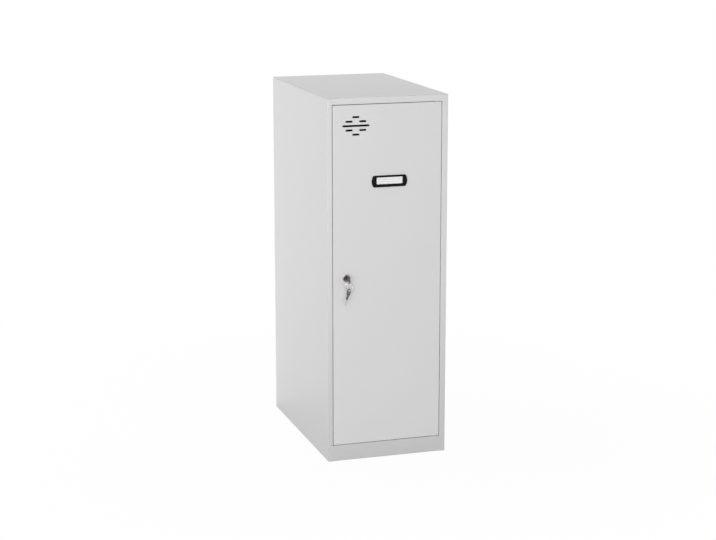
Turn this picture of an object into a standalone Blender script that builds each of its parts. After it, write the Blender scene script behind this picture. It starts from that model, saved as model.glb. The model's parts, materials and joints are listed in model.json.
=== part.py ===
"""A half-height steel locker with one hinged door, a cam lock and two keys on a ring.

Metres, +Z up. The door faces -Y, its hinge pins are on the right (+X) and its lock is on the left.
The origin is on the floor, below the middle of the locker's whole box, key included.
At rest the door is shut and unlocked: the lock's cam hangs straight down.
"""

import math

import bmesh
import bpy
from mathutils import Matrix, Vector

# Cabinet
WIDTH = 0.305
DEPTH = 0.500
HEIGHT = 0.900
SHEET = 0.0008
BEND = 0.0016
LOCK_STILE = 0.012
HINGE_STILE = 0.015
TOP_RAIL = 0.016
PLINTH = 0.040
STOP_LIP = 0.012
REAR_FLANGE = 0.015
FOOT_FLANGE = 0.030

# Clearances
FIT = 0.0003
SEAM = 0.0002
DOOR_GAP = 0.0011
STOP_GAP = 0.0030
SWING_CLEARANCE = 0.0004
CAM_CLEARANCE = 0.0008

# Shelf and coat rail
SHELF_BELOW_TOP = 0.250
SHELF_SETBACK = 0.015
SHELF_FLANGE = 0.020
SHELF_RETURN = 0.010
LEDGE_LEG = 0.016
LEDGE_LENGTH = 0.400
RAIL_RADIUS = 0.008
RAIL_WALL = 0.0012
RAIL_BELOW_LEDGE = 0.030
SOCKET_PLATE_RADIUS = 0.015
SOCKET_PLATE = 0.0015
SOCKET_WALL = 0.0025
SOCKET_DEPTH = 0.010

# Door
DOOR_DEPTH = 0.018
DOOR_LIP = 0.012
STIFFENER_WIDTH = 0.020
STIFFENER_FLANGE = 0.008
STIFFENER_DEPTH = 0.012
STIFFENER_END_GAP = 0.030

# Vents
VENT_FROM_EDGE = 0.0579
VENT_FROM_TOP = 0.0504
VENT_PITCH = 0.0105
VENT_HEIGHT = 0.0048
VENT_SHORT = 0.018
VENT_LONG = 0.068
VENT_PAIR_OFFSET = 0.0172

# Hinge pins
PIN_RADIUS = 0.0020
PIN_PLAY = 0.0003
PIN_HEAD = 0.0012
PIN_HEAD_HEIGHT = 0.0020
PIN_REACH = 0.005
BUSH_WALL = 0.0007
BUSH_LAND = 0.0009
BUSH_SPIGOT = 0.0012
BRACKET_SHEET = 0.0015
BRACKET_ARM = 0.020
BRACKET_DROP = 0.022

# Door bumpers
BUMPER_RADIUS = 0.0040
BUMPER_STEM = 0.0020
BUMPER_BULB = 0.0028
BUMPER_BULB_LENGTH = 0.0018
BUMPER_FROM_END = 0.070

# Label holder
LABEL_LENGTH = 0.090
LABEL_HEIGHT = 0.0285
LABEL_BULGE = 0.0045
LABEL_THICKNESS = 0.0030
LABEL_FROM_TOP = 0.1874
LABEL_OFFSET = 0.0045
WINDOW_LENGTH = 0.066
WINDOW_HEIGHT = 0.0168
WINDOW_RAISE = 0.0014
POCKET_MARGIN = 0.0025
POCKET_DEPTH = 0.0015
FILM = 0.0004
CARD = 0.00035
PEG_RADIUS = 0.0018
PEG_SPACING = 0.076
PEG_LENGTH = 0.0030

# Cam lock
LOCK_FROM_EDGE = 0.0334
LOCK_FLANGE_RADIUS = 0.0100
LOCK_FLANGE = 0.0025
LOCK_CHAMFER = 0.0008
BARREL_RADIUS = 0.0083
BARREL_FLAT = 0.0070
PLUG_RADIUS = 0.0055
PLUG_HEAD_RADIUS = 0.0070
PLUG_HEAD = 0.0018
TAIL_RADIUS = 0.0045
TAIL_FLAT = 0.0030
NUT_ACROSS_FLATS = 0.022
NUT_THICKNESS = 0.0040
CAM_THICKNESS = 0.0020
CAM_HEAD_RADIUS = 0.0080
CAM_ARM_WIDTH = 0.012
CAM_BITE = 0.009
SCREW_RADIUS = 0.0015
SCREW_LENGTH = 0.006
SCREW_HEAD_RADIUS = 0.0048
SCREW_HEAD = 0.0024

# Keys and their ring
KEY_REACH = 0.031
KEY_INSERT = 0.012
KEY_THICKNESS = 0.0016
KEY_BLADE = 0.0060
KEY_TIP = 0.0020
KEY_NECK = 0.0090
KEY_BITE = 0.0014
KEY_BITES = 4
BOW_RADIUS = 0.0095
SLOT_LENGTH = 0.012
SLOT_WIDTH = 0.0040
SLOT_FROM_END = 0.0050
RING_RADIUS = 0.0095
RING_WIRE = 0.0007
RING_ROLL = 0.0025
SPARE_LEAN = math.radians(15)
SPARE_TWIST = math.radians(8)

# Facets
FOLD_ANGLE = math.radians(30)
MERGE = 0.00001
BEND_SEGMENTS = 3
TURN_STEPS = 32
WIRE_STEPS = 8
RING_STEPS = 40
ARC_STEPS = 8

# Places worked out from the sizes above
LEFT = -WIDTH / 2
RIGHT = WIDTH / 2
SLOT_AT = KEY_REACH - SLOT_FROM_END
REACH = max(KEY_REACH, SLOT_AT + BOW_RADIUS)
FRONT = (REACH - DEPTH) / 2
FRAME_DEPTH = DOOR_DEPTH + STOP_GAP
SIDE_HEIGHT = HEIGHT - SHEET - 2 * SEAM
BACK_PANEL_DEPTH = DEPTH - SHEET - SEAM
INNER_DEPTH = BACK_PANEL_DEPTH - SHEET - SEAM

DOOR_LEFT = LEFT + LOCK_STILE + DOOR_GAP
DOOR_RIGHT = RIGHT - HINGE_STILE - DOOR_GAP
DOOR_BOTTOM = PLINTH + DOOR_GAP
DOOR_TOP = HEIGHT - TOP_RAIL - DOOR_GAP
DOOR_MIDDLE = (DOOR_LEFT + DOOR_RIGHT) / 2

PIN_HOLE = PIN_RADIUS + PIN_PLAY
BUSH_RADIUS = PIN_HOLE + BUSH_WALL
BUSH_HOLE = BUSH_RADIUS + FIT
HINGE_BACKSET = BEND + BUSH_HOLE + FIT

LOCK_X = DOOR_LEFT + LOCK_FROM_EDGE
LOCK_Z = (DOOR_BOTTOM + DOOR_TOP) / 2
LOCK_FACE = FIT + LOCK_FLANGE
CAM_FRONT = FRAME_DEPTH + SHEET + CAM_CLEARANCE

RING_TOP = LOCK_Z - SLOT_LENGTH / 2 + FIT + RING_WIRE
RING_BOTTOM = RING_TOP - 2 * RING_RADIUS

# Turning a piece that is drawn flat, or turned about Z, to face the front
FACE_FRONT = Matrix.Rotation(math.radians(90), 4, "X")
ALONG_X = Matrix.Rotation(math.radians(90), 4, "Y")
UPSIDE_DOWN = Matrix.Rotation(math.radians(180), 4, "X")
KEY_FORWARD = Matrix.Rotation(math.radians(-90), 4, "Z") @ FACE_FRONT


def hinge_inset():
    """Distance of the hinge axis from the door's edge, so that the round front corner swings clear."""
    setback = HINGE_BACKSET - BEND
    slack = DOOR_GAP - SWING_CLEARANCE
    for_swing = BEND + (setback ** 2 - slack ** 2) / (2 * slack)
    for_bracket = SHEET + FIT + BRACKET_SHEET + FIT + PIN_RADIUS + PIN_HEAD
    return max(for_swing, for_bracket)


HINGE_X = DOOR_RIGHT - hinge_inset()
HINGE_Y = FRONT + HINGE_BACKSET


# Scene helpers

def clear_scene():
    for obj in list(bpy.data.objects):
        bpy.data.objects.remove(obj)


def new_collection(name):
    group = bpy.data.collections.new(name)
    bpy.context.scene.collection.children.link(group)
    return group


def new_material(name, colour, roughness, metallic):
    material = bpy.data.materials.new(name)
    material.use_nodes = True
    shader = material.node_tree.nodes["Principled BSDF"]
    shader.inputs["Base Color"].default_value = (*colour, 1.0)
    shader.inputs["Roughness"].default_value = roughness
    shader.inputs["Metallic"].default_value = metallic
    return material


def world_place(obj):
    place = Vector((0, 0, 0))
    while obj is not None:
        place += obj.location
        obj = obj.parent
    return place


def place(obj, at, parent=None, turn=None):
    """Put an object at a point of the locker's frame, under an unturned parent."""
    obj.parent = parent
    obj.location = Vector(at) - world_place(parent)
    if turn is not None:
        obj.rotation_euler = turn.to_euler()
    return obj


def axis_empty(name, at, parent=None):
    empty = bpy.data.objects.new(name, None)
    PARTS.objects.link(empty)
    return place(empty, at, parent)


def as_part(obj, material):
    PARTS.objects.link(obj)
    obj.data.materials.clear()
    obj.data.materials.append(material)
    return obj


def as_cutter(obj):
    CUTTERS.objects.link(obj)
    obj.hide_render = True
    obj.display_type = "WIRE"
    return obj


def combine(obj, other, operation="DIFFERENCE"):
    modifier = obj.modifiers.new(other.name, "BOOLEAN")
    modifier.operation = operation
    modifier.object = other


def round_folds(obj):
    bevel = obj.modifiers.new("Rounded folds", "BEVEL")
    bevel.width = BEND
    bevel.segments = BEND_SEGMENTS
    bevel.limit_method = "ANGLE"
    bevel.angle_limit = FOLD_ANGLE


def thicken(obj, thickness):
    solid = obj.modifiers.new("Sheet thickness", "SOLIDIFY")
    solid.thickness = thickness
    solid.offset = -1
    solid.use_even_offset = True


def object_from(bm, name):
    mesh = bpy.data.meshes.new(name)
    bm.to_mesh(mesh)
    bm.free()
    return bpy.data.objects.new(name, mesh)


# Shapes

def folded_sheet(name, fold_line, sweep, length, thickness=SHEET):
    """A sheet folded along a line of corners and swept along X, Y or Z.

    The line is drawn in the other two axes, on the sheet's visible face. Its thickness lies on the
    right of the line.
    """
    across, up = [axis for axis in range(3) if axis != sweep]
    bm = bmesh.new()
    corners = []
    for u, v in fold_line:
        point = [0.0, 0.0, 0.0]
        point[across] = u
        point[up] = v
        corners.append(bm.verts.new(point))
    edges = [bm.edges.new(pair) for pair in zip(corners, corners[1:])]
    swept = bmesh.ops.extrude_edge_only(bm, edges=edges)["geom"]
    step = Vector((0, 0, 0))
    step[sweep] = length
    far_end = [item for item in swept if isinstance(item, bmesh.types.BMVert)]
    bmesh.ops.translate(bm, verts=far_end, vec=step)
    bm.normal_update()
    first = Vector(fold_line[1]) - Vector(fold_line[0])
    left_of_line = [0.0, 0.0, 0.0]
    left_of_line[across] = -first.y
    left_of_line[up] = first.x
    if edges[0].link_faces[0].normal.dot(Vector(left_of_line)) < 0:
        bmesh.ops.reverse_faces(bm, faces=bm.faces)
    sheet = object_from(bm, name)
    round_folds(sheet)
    thicken(sheet, thickness)
    return sheet


def block(size):
    """A block with its low corner at the origin."""
    bm = bmesh.new()
    bmesh.ops.create_cube(bm, size=1, matrix=Matrix.Translation(size / 2) @ Matrix.Diagonal((*size, 1)))
    return bm


def box(name, low, high):
    """A block between two corners, with its origin at the low corner."""
    return object_from(block(Vector(high) - Vector(low)), name)


def box_cutter(name, low, high, parent=None):
    return place(as_cutter(box(name, low, high)), low, parent)


def rod(name, radius, length):
    """A round rod that stands on its origin."""
    bm = bmesh.new()
    bmesh.ops.create_cone(bm, cap_ends=True, segments=TURN_STEPS, radius1=radius, radius2=radius,
                          depth=length, matrix=Matrix.Translation((0, 0, length / 2)))
    return object_from(bm, name)


def turned_piece(name, profile, closed=False):
    """A profile of (radius, height) points, down its outer side, turned about Z."""
    bm = bmesh.new()
    points = [bm.verts.new((radius, 0, height)) for radius, height in profile]
    for pair in zip(points, points[1:]):
        bm.edges.new(pair)
    if closed:
        bm.edges.new((points[-1], points[0]))
    piece = object_from(bm, name)
    screw = piece.modifiers.new("Turned", "SCREW")
    screw.steps = TURN_STEPS
    screw.render_steps = TURN_STEPS
    screw.use_merge_vertices = True
    screw.merge_threshold = MERGE
    return piece


def flat_piece(name, loops, thickness):
    """A plate of even thickness with one outer loop for each body and inner loops for its holes."""
    curve = bpy.data.curves.new(name, "CURVE")
    curve.dimensions = "2D"
    curve.fill_mode = "BOTH"
    curve.extrude = thickness / 2
    for loop in loops:
        spline = curve.splines.new("POLY")
        spline.points.add(len(loop) - 1)
        for point, (x, y) in zip(spline.points, loop):
            point.co = (x, y, 0, 1)
        spline.use_cyclic_u = True
    outline = bpy.data.objects.new(name + "_outline", curve)
    bpy.context.scene.collection.objects.link(outline)
    evaluated = outline.evaluated_get(bpy.context.evaluated_depsgraph_get())
    mesh = bpy.data.meshes.new_from_object(evaluated)
    bpy.data.objects.remove(outline)
    bm = bmesh.new()
    bm.from_mesh(mesh)
    bmesh.ops.remove_doubles(bm, verts=bm.verts, dist=MERGE)
    bmesh.ops.recalc_face_normals(bm, faces=bm.faces)
    bm.to_mesh(mesh)
    bm.free()
    return bpy.data.objects.new(name, mesh)


# Outlines

def arc(centre, radius, start, stop, steps=ARC_STEPS):
    """Points from one angle to another, in degrees, both ends included."""
    points = []
    for step in range(steps + 1):
        angle = math.radians(start + (stop - start) * step / steps)
        points.append((centre[0] + radius * math.cos(angle), centre[1] + radius * math.sin(angle)))
    return points


def circle(centre, radius):
    return arc(centre, radius, 0, 360, TURN_STEPS)[:-1]


def flatted_circle(radius, flat):
    """A circle round the origin with two flats, left and right, at a distance from its centre."""
    corner = math.degrees(math.acos(flat / radius))
    return arc((0, 0), radius, corner, 180 - corner) + arc((0, 0), radius, 180 + corner, 360 - corner)


def stadium(centre, length, width):
    """A level slot with round ends."""
    reach = (length - width) / 2
    right = arc((centre[0] + reach, centre[1]), width / 2, -90, 90)
    left = arc((centre[0] - reach, centre[1]), width / 2, 90, 270)
    return right + left


def rectangle(centre, length, height):
    x, y = centre
    return [(x - length / 2, y - height / 2), (x + length / 2, y - height / 2),
            (x + length / 2, y + height / 2), (x - length / 2, y + height / 2)]


# Cabinet pieces

def side_panels():
    left = folded_sheet("left_side_panel", [
        (LOCK_STILE + STOP_LIP, FRAME_DEPTH), (LOCK_STILE, FRAME_DEPTH), (LOCK_STILE, 0),
        (0, 0), (0, DEPTH), (REAR_FLANGE, DEPTH)], 2, SIDE_HEIGHT)
    place(as_part(left, PAINT), (LEFT, FRONT, 0))
    right = folded_sheet("right_side_panel", [
        (-REAR_FLANGE, DEPTH), (0, DEPTH), (0, 0), (-HINGE_STILE, 0), (-HINGE_STILE, FRAME_DEPTH)],
        2, SIDE_HEIGHT)
    place(as_part(right, PAINT), (RIGHT, FRONT, 0))
    return left


def back_panel():
    inset = BEND + FIT
    top = HEIGHT - SHEET - SEAM
    panel = folded_sheet("back_panel", [
        (BACK_PANEL_DEPTH - REAR_FLANGE, top), (BACK_PANEL_DEPTH, top), (BACK_PANEL_DEPTH, 0)],
        0, WIDTH - 2 * inset)
    place(as_part(panel, PAINT), (LEFT + inset, FRONT, 0))


def bush_hole_cutter(name, low, high):
    cutter = as_cutter(rod(name, BUSH_HOLE, high - low))
    return place(cutter, (HINGE_X, HINGE_Y, low))


def stile_notches(name, low, high):
    """Room for the two front stiles and the door stop, between two heights."""
    front = FRONT - BEND
    return_end = FRONT + FRAME_DEPTH + SHEET + SEAM
    beyond = BEND
    left = box_cutter(name + "_left", (LEFT - beyond, front, low),
                      (LEFT + LOCK_STILE + SEAM, return_end, high))
    stop = box_cutter(name + "_stop", (LEFT - beyond, FRONT + FRAME_DEPTH - BEND - SEAM, low),
                      (LEFT + LOCK_STILE + STOP_LIP + SEAM, return_end, high))
    right = box_cutter(name + "_right", (RIGHT - HINGE_STILE - SEAM, front, low),
                       (RIGHT + beyond, return_end, high))
    return left, stop, right


def roof_panel():
    roof = folded_sheet("roof_panel", [
        (FRAME_DEPTH, -TOP_RAIL - STOP_LIP), (FRAME_DEPTH, -TOP_RAIL), (0, -TOP_RAIL), (0, 0), (DEPTH, 0)],
        0, WIDTH)
    place(as_part(roof, PAINT), (LEFT, FRONT, HEIGHT))
    below = HEIGHT - TOP_RAIL - STOP_LIP - BEND
    for notch in stile_notches("roof_notch", below, HEIGHT - SHEET - SEAM):
        combine(roof, notch)
    rail_top = HEIGHT - TOP_RAIL + SHEET
    combine(roof, bush_hole_cutter("roof_bush_hole", DOOR_TOP, rail_top + SHEET))


def floor_panel():
    inset = SHEET + SEAM
    floor = folded_sheet("floor_panel", [
        (FOOT_FLANGE, 0), (0, 0), (0, PLINTH), (INNER_DEPTH, PLINTH), (INNER_DEPTH, 0),
        (INNER_DEPTH - FOOT_FLANGE, 0)], 0, WIDTH - 2 * inset)
    place(as_part(floor, PAINT), (LEFT + inset, FRONT, 0))
    for notch in stile_notches("floor_notch", -BEND, PLINTH + BEND):
        combine(floor, notch)
    combine(floor, bush_hole_cutter("floor_bush_hole", PLINTH - 2 * SHEET, DOOR_BOTTOM))


def shelf_and_ledges():
    inset = SHEET + SEAM
    front = FRAME_DEPTH + SHEET + SHELF_SETBACK
    shelf_top = HEIGHT - SHELF_BELOW_TOP
    shelf = folded_sheet("shelf", [
        (front + SHELF_RETURN, -SHELF_FLANGE), (front, -SHELF_FLANGE), (front, 0),
        (INNER_DEPTH - SEAM, 0), (INNER_DEPTH - SEAM, -SHELF_FLANGE)], 0, WIDTH - 2 * inset)
    place(as_part(shelf, PAINT), (LEFT + inset, FRONT, shelf_top))

    ledge_top = shelf_top - SHEET - FIT
    ledge_front = FRONT + (front + SHELF_RETURN + INNER_DEPTH - LEDGE_LENGTH) / 2
    left = folded_sheet("left_shelf_ledge", [(0, -LEDGE_LEG), (0, 0), (LEDGE_LEG, 0)], 1, LEDGE_LENGTH)
    place(as_part(left, PAINT), (LEFT + inset, ledge_front, ledge_top))
    right = folded_sheet("right_shelf_ledge", [(-LEDGE_LEG, 0), (0, 0), (0, -LEDGE_LEG)], 1, LEDGE_LENGTH)
    place(as_part(right, PAINT), (RIGHT - inset, ledge_front, ledge_top))
    return ledge_front + LEDGE_LENGTH / 2, ledge_top - LEDGE_LEG


def coat_rail(middle, ledge_bottom):
    height = ledge_bottom - RAIL_BELOW_LEDGE - SOCKET_PLATE_RADIUS
    inset = SHEET + SEAM
    bore = RAIL_RADIUS + FIT
    collar = bore + SOCKET_WALL
    cup = [(0, SOCKET_PLATE), (bore, SOCKET_PLATE), (bore, SOCKET_DEPTH), (collar, SOCKET_DEPTH),
           (collar, SOCKET_PLATE), (SOCKET_PLATE_RADIUS, SOCKET_PLATE), (SOCKET_PLATE_RADIUS, 0), (0, 0)]
    left = turned_piece("left_rail_socket", cup)
    place(as_part(left, STEEL), (LEFT + inset, middle, height), turn=ALONG_X)
    right = turned_piece("right_rail_socket", cup)
    place(as_part(right, STEEL), (RIGHT - inset, middle, height), turn=ALONG_X.inverted())

    end_gap = inset + SOCKET_PLATE + FIT
    length = WIDTH - 2 * end_gap
    inner = RAIL_RADIUS - RAIL_WALL
    tube = [(inner, length), (RAIL_RADIUS, length), (RAIL_RADIUS, 0), (inner, 0)]
    rail = turned_piece("coat_rail", tube, True)
    place(as_part(rail, STEEL), (LEFT + end_gap, middle, height), turn=ALONG_X)


def door_bumpers(left_panel):
    """Rubber buttons pressed through the door stop on the lock side."""
    middle = LEFT + LOCK_STILE + (BEND + STOP_LIP) / 2
    head = STOP_GAP - FIT
    rounding = BUMPER_RADIUS / 5
    behind = -SHEET - FIT
    profile = [(0, head), (BUMPER_RADIUS - rounding, head), (BUMPER_RADIUS, head - rounding),
               (BUMPER_RADIUS, FIT), (BUMPER_STEM, FIT), (BUMPER_STEM, behind), (BUMPER_BULB, behind),
               (BUMPER_STEM, behind - BUMPER_BULB_LENGTH), (0, behind - BUMPER_BULB_LENGTH)]
    heights = {"upper": DOOR_TOP - BUMPER_FROM_END, "lower": DOOR_BOTTOM + BUMPER_FROM_END}
    for end, height in heights.items():
        at = (middle, FRONT + FRAME_DEPTH, height)
        bumper = turned_piece(end + "_door_bumper", profile)
        place(as_part(bumper, RUBBER), at, turn=FACE_FRONT)
        hole = as_cutter(rod(end + "_bumper_hole", BUMPER_STEM + FIT, 2 * STOP_GAP))
        place(hole, (at[0], at[1] + STOP_GAP, at[2]), turn=FACE_FRONT)
        combine(left_panel, hole)


def hinge_bushes():
    """Flanged bushes in the rail and the floor. Their flanges fill the gap at the door's ends."""
    flange = BUSH_RADIUS + BUSH_LAND
    spigot = SHEET + BUSH_SPIGOT
    profile = [(PIN_HOLE, spigot), (BUSH_RADIUS, spigot), (BUSH_RADIUS, -FIT), (flange, -FIT),
               (flange, FIT - DOOR_GAP), (PIN_HOLE, FIT - DOOR_GAP)]
    upper = turned_piece("upper_hinge_bush", profile, True)
    place(as_part(upper, NYLON), (HINGE_X, HINGE_Y, HEIGHT - TOP_RAIL))
    lower = turned_piece("lower_hinge_bush", profile, True)
    place(as_part(lower, NYLON), (HINGE_X, HINGE_Y, PLINTH), turn=UPSIDE_DOWN)


# Door pieces

def vent_slots(centre):
    """Seven slots in five rows: one short, two short, one long, two short, one short."""
    slots = [stadium(centre, VENT_LONG, VENT_HEIGHT)]
    for side in (-1, 1):
        slots.append(stadium((centre[0], centre[1] + side * 2 * VENT_PITCH), VENT_SHORT, VENT_HEIGHT))
        for pair in (-1, 1):
            middle = (centre[0] + pair * VENT_PAIR_OFFSET, centre[1] + side * VENT_PITCH)
            slots.append(stadium(middle, VENT_SHORT, VENT_HEIGHT))
    return slots


def label_place():
    return DOOR_MIDDLE + LABEL_OFFSET, DOOR_TOP - LABEL_FROM_TOP


def peg_places():
    return [(side * PEG_SPACING / 2, 0) for side in (-1, 1)]


def pin_bore(hinge):
    """One bore through the door's height, which lines up all the holes for its hinge pins."""
    bore = as_cutter(rod("pin_bore", PIN_HOLE, DOOR_TOP - DOOR_BOTTOM + 2 * DOOR_GAP))
    return place(bore, (HINGE_X, HINGE_Y, DOOR_BOTTOM - DOOR_GAP), hinge)


def door_panel(hinge, bore):
    """A pan with its four edges folded back and in, cut for the vents, the lock and the label's pegs."""
    bm = block(Vector((DOOR_RIGHT - DOOR_LEFT, DOOR_DEPTH, DOOR_TOP - DOOR_BOTTOM)))
    bm.normal_update()
    back = [face for face in bm.faces if face.normal.y > 0.5]
    bmesh.ops.inset_region(bm, faces=back, thickness=DOOR_LIP, use_even_offset=True)
    bmesh.ops.delete(bm, geom=back, context="FACES")
    door = object_from(bm, "door_panel")
    place(as_part(door, PAINT), (DOOR_LEFT, FRONT, DOOR_BOTTOM), hinge)
    round_folds(door)
    thicken(door, SHEET)
    combine(door, bore)

    label_x, label_z = label_place()
    vents = vent_slots((VENT_FROM_EDGE, DOOR_TOP - VENT_FROM_TOP - DOOR_BOTTOM))
    barrel = flatted_circle(BARREL_RADIUS + FIT, BARREL_FLAT + FIT)
    lock_hole = [(x + LOCK_FROM_EDGE, y + LOCK_Z - DOOR_BOTTOM) for x, y in barrel]
    peg_holes = [circle((label_x + x - DOOR_LEFT, label_z + y - DOOR_BOTTOM), PEG_RADIUS + FIT)
                 for x, y in peg_places()]
    cuts = as_cutter(flat_piece("door_front_cuts", vents + [lock_hole] + peg_holes, 2 * (SHEET + BEND)))
    place(cuts, (DOOR_LEFT, FRONT, DOOR_BOTTOM), hinge, FACE_FRONT)
    combine(door, cuts)


def hinge_hardware(hinge, bore):
    """Pins in angle brackets at the door's hinge corners."""
    edge = DOOR_RIGHT - SHEET - FIT
    near = FRONT + BEND + FIT
    width = DOOR_DEPTH - 2 * (BEND + FIT)
    leg = BRACKET_DROP - SHEET - FIT - BEND
    head = PIN_RADIUS + PIN_HEAD
    tip = BRACKET_DROP + DOOR_GAP + SHEET + PIN_REACH
    chamfer = PIN_RADIUS / 4
    pin = [(0, tip), (PIN_RADIUS - chamfer, tip), (PIN_RADIUS, tip - chamfer), (PIN_RADIUS, -FIT),
           (head, -FIT), (head, -FIT - PIN_HEAD_HEIGHT), (0, -FIT - PIN_HEAD_HEIGHT)]

    upper_z = DOOR_TOP - BRACKET_DROP
    upper_line = [(0, leg), (0, 0), (-BRACKET_ARM, 0)]
    upper = folded_sheet("upper_hinge_bracket", upper_line, 1, width, BRACKET_SHEET)
    place(as_part(upper, STEEL), (edge, near, upper_z), hinge)
    combine(upper, bore)
    upper_pin = turned_piece("upper_hinge_pin", pin)
    place(as_part(upper_pin, STEEL), (HINGE_X, HINGE_Y, upper_z), hinge)

    lower_z = DOOR_BOTTOM + BRACKET_DROP
    lower_line = [(-BRACKET_ARM, 0), (0, 0), (0, -leg)]
    lower = folded_sheet("lower_hinge_bracket", lower_line, 1, width, BRACKET_SHEET)
    place(as_part(lower, STEEL), (edge, near, lower_z), hinge)
    combine(lower, bore)
    lower_pin = turned_piece("lower_hinge_pin", pin)
    place(as_part(lower_pin, STEEL), (HINGE_X, HINGE_Y, lower_z), hinge, UPSIDE_DOWN)


def door_stiffener(hinge):
    """A hat channel down the middle of the door's inner face."""
    crown = STIFFENER_WIDTH / 2
    foot = crown + STIFFENER_FLANGE
    channel = folded_sheet("door_stiffener", [
        (-foot, 0), (-crown, 0), (-crown, STIFFENER_DEPTH), (crown, STIFFENER_DEPTH), (crown, 0), (foot, 0)],
        2, DOOR_TOP - DOOR_BOTTOM - 2 * STIFFENER_END_GAP)
    at = (DOOR_MIDDLE, FRONT + 2 * SHEET + FIT, DOOR_BOTTOM + STIFFENER_END_GAP)
    place(as_part(channel, PAINT), at, hinge)


def label_holder(hinge):
    """A black bezel pegged to the door, with a card behind a clear film in a pocket at its back."""
    x, z = label_place()
    half_height = LABEL_HEIGHT / 2
    end_radius = (half_height ** 2 + LABEL_BULGE ** 2) / (2 * LABEL_BULGE)
    end_angle = math.degrees(math.asin(half_height / end_radius))
    end_centre = LABEL_LENGTH / 2 - end_radius
    outline = arc((end_centre, 0), end_radius, -end_angle, end_angle)
    outline += arc((-end_centre, 0), end_radius, 180 - end_angle, 180 + end_angle)
    window = rectangle((0, WINDOW_RAISE), WINDOW_LENGTH, WINDOW_HEIGHT)
    bezel = flat_piece("label_frame", [outline, window], LABEL_THICKNESS)
    back = FRONT - FIT
    place(as_part(bezel, BLACK), (x, back - LABEL_THICKNESS / 2, z), hinge, FACE_FRONT)

    pocket = Vector((WINDOW_LENGTH, 0, WINDOW_HEIGHT)) / 2 + Vector((POCKET_MARGIN, 0, POCKET_MARGIN))
    middle = Vector((x, 0, z + WINDOW_RAISE))
    recess = box_cutter("label_pocket", middle - pocket + Vector((0, back - POCKET_DEPTH, 0)),
                        middle + pocket + Vector((0, back + FIT / 2, 0)), hinge)
    combine(bezel, recess)
    for number, (peg_x, peg_z) in enumerate(peg_places()):
        length = LABEL_THICKNESS / 2 + FIT + SHEET + PEG_LENGTH
        peg = as_cutter(rod("label_peg_%d" % (number + 1), PEG_RADIUS, length))
        place(peg, (x + peg_x, FRONT + SHEET + PEG_LENGTH, z + peg_z), hinge, FACE_FRONT)
        combine(bezel, peg, "UNION")

    fitted = pocket - Vector((FIT, 0, FIT))
    film_front = back - POCKET_DEPTH + FIT
    card_front = film_front + FILM + FIT
    for name, front, thickness, material in (("label_window", film_front, FILM, CLEAR),
                                             ("label_card", card_front, CARD, PAPER)):
        low = middle - fitted + Vector((0, front, 0))
        high = middle + fitted + Vector((0, front + thickness, 0))
        place(as_part(box(name, low, high), material), low, hinge)


# Lock and keys

def lock_body(hinge):
    """The lock's housing, flatted against turning, and the nut that holds it to the door."""
    at = (LOCK_X, FRONT, LOCK_Z)
    counterbore = PLUG_HEAD_RADIUS + FIT
    bore = PLUG_RADIUS + FIT
    step = LOCK_FACE - PLUG_HEAD - FIT
    end = 2 * FIT - CAM_FRONT
    profile = [(counterbore, LOCK_FACE), (LOCK_FLANGE_RADIUS - LOCK_CHAMFER, LOCK_FACE),
               (LOCK_FLANGE_RADIUS, LOCK_FACE - LOCK_CHAMFER), (LOCK_FLANGE_RADIUS, FIT),
               (BARREL_RADIUS, FIT), (BARREL_RADIUS, end), (bore, end), (bore, step), (counterbore, step)]
    housing = turned_piece("lock_housing", profile, True)
    place(as_part(housing, NICKEL), at, hinge, FACE_FRONT)
    for side, name in ((-1, "left_barrel_flat"), (1, "right_barrel_flat")):
        inner = LOCK_X + side * BARREL_FLAT
        outer = LOCK_X + side * LOCK_FLANGE_RADIUS
        low = (min(inner, outer), FRONT - FIT, LOCK_Z - BARREL_RADIUS)
        high = (max(inner, outer), FRONT + CAM_FRONT, LOCK_Z + BARREL_RADIUS)
        combine(housing, box_cutter(name, low, high, hinge))

    corners = arc((0, 0), NUT_ACROSS_FLATS / math.sqrt(3), 30, 390, 6)[:-1]
    nut = flat_piece("lock_nut", [corners, circle((0, 0), BARREL_RADIUS + FIT)], NUT_THICKNESS)
    nut_y = FRONT + SHEET + FIT + NUT_THICKNESS / 2
    place(as_part(nut, NICKEL), (LOCK_X, nut_y, LOCK_Z), hinge, FACE_FRONT)


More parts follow.
